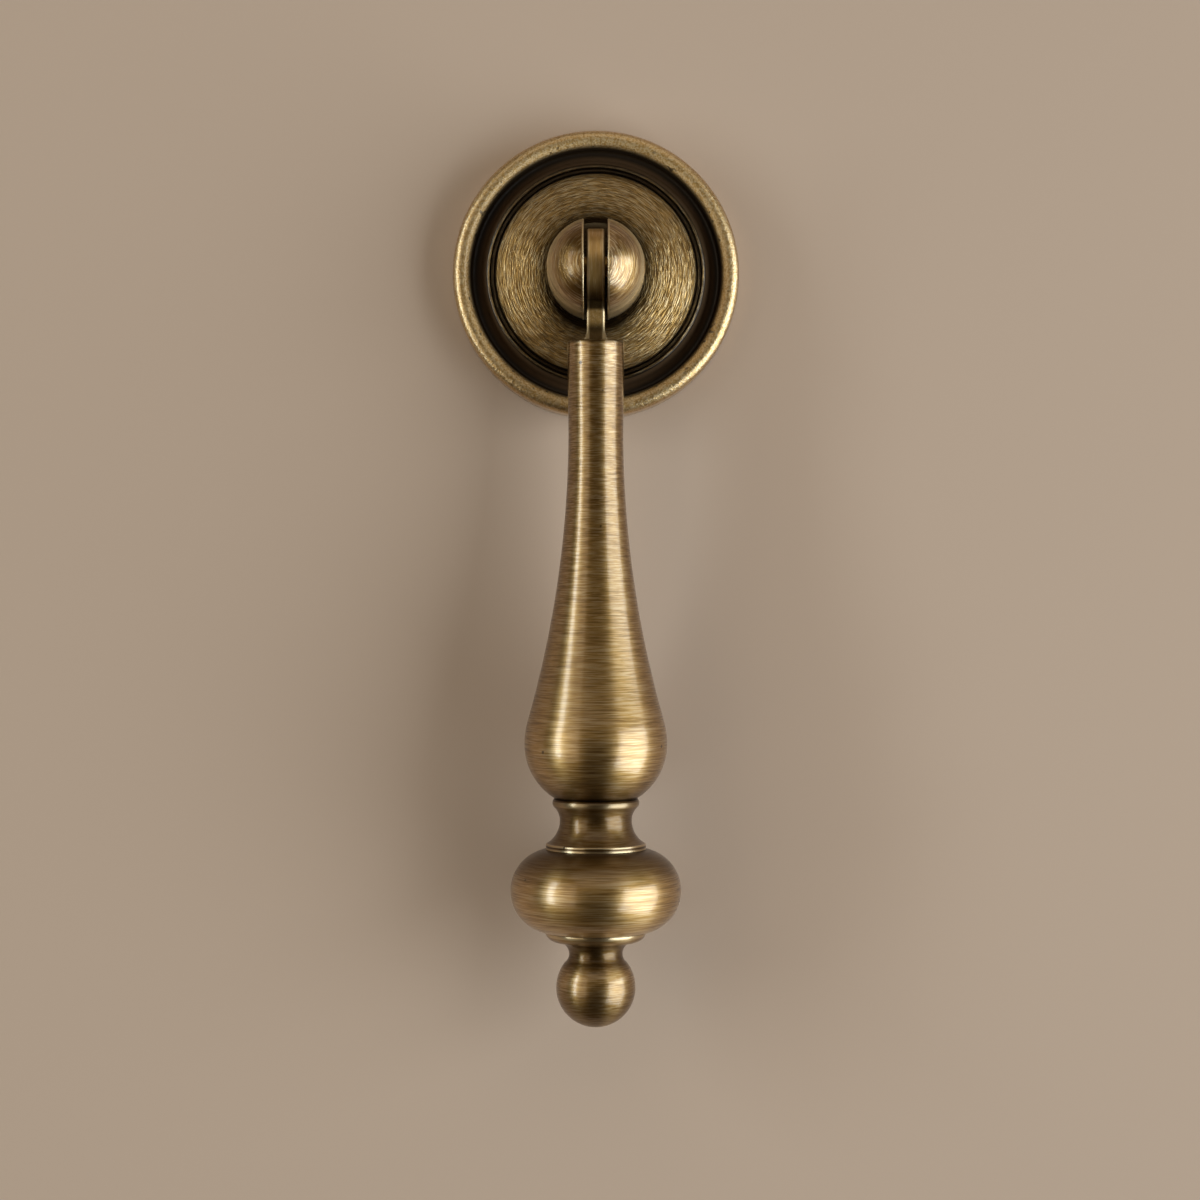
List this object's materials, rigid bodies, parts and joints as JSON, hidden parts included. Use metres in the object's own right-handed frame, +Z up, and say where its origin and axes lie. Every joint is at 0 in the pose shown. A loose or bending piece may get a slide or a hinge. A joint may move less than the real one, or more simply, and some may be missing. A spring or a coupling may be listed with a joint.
{
  "type": "drop pull",
  "caption": "Antiqued brass drop pull: a turned drop with bulb, bead and end ball swings on a pin in the slotted head of a post, over a round pressed rosette with a deep groove.",
  "frame": {"origin": "centre of the rosette's back, on the drawer front, on the axis of the mounting stud", "axes": "+X to the right as seen from the front, +Y into the drawer front along the stud, +Z up, the drop hanging along -Z"},
  "size_m": [0.035, 0.0467, 0.1083],
  "materials": {
    "rosette_brass": "antiqued, brushed in circles, dark in the groove",
    "post_brass": "antiqued, brushed in circles about the post",
    "pin_brass": "antiqued, dressed flush",
    "plain_brass": "plain turned and milled",
    "eye_brass": "antiqued, brushed lengthwise",
    "drop_brass": "antiqued, brushed round the drop"
  },
  "bodies": {
    "mounted": {"rosette": "rosette_brass", "post": "post_brass", "hinge_pin": "pin_brass", "washer": "plain_brass", "lock_nut": "plain_brass"},
    "swinging": {"drop_eye": "eye_brass", "drop": "drop_brass"}
  },
  "joints": [
    {"name": "drop_swing", "type": "hinge", "parent": "mounted", "child": "swinging", "pos_m": [0, -0.0115, 0], "axis": [-1, 0, 0], "range_deg": [-0.9, 180]}
  ]
}
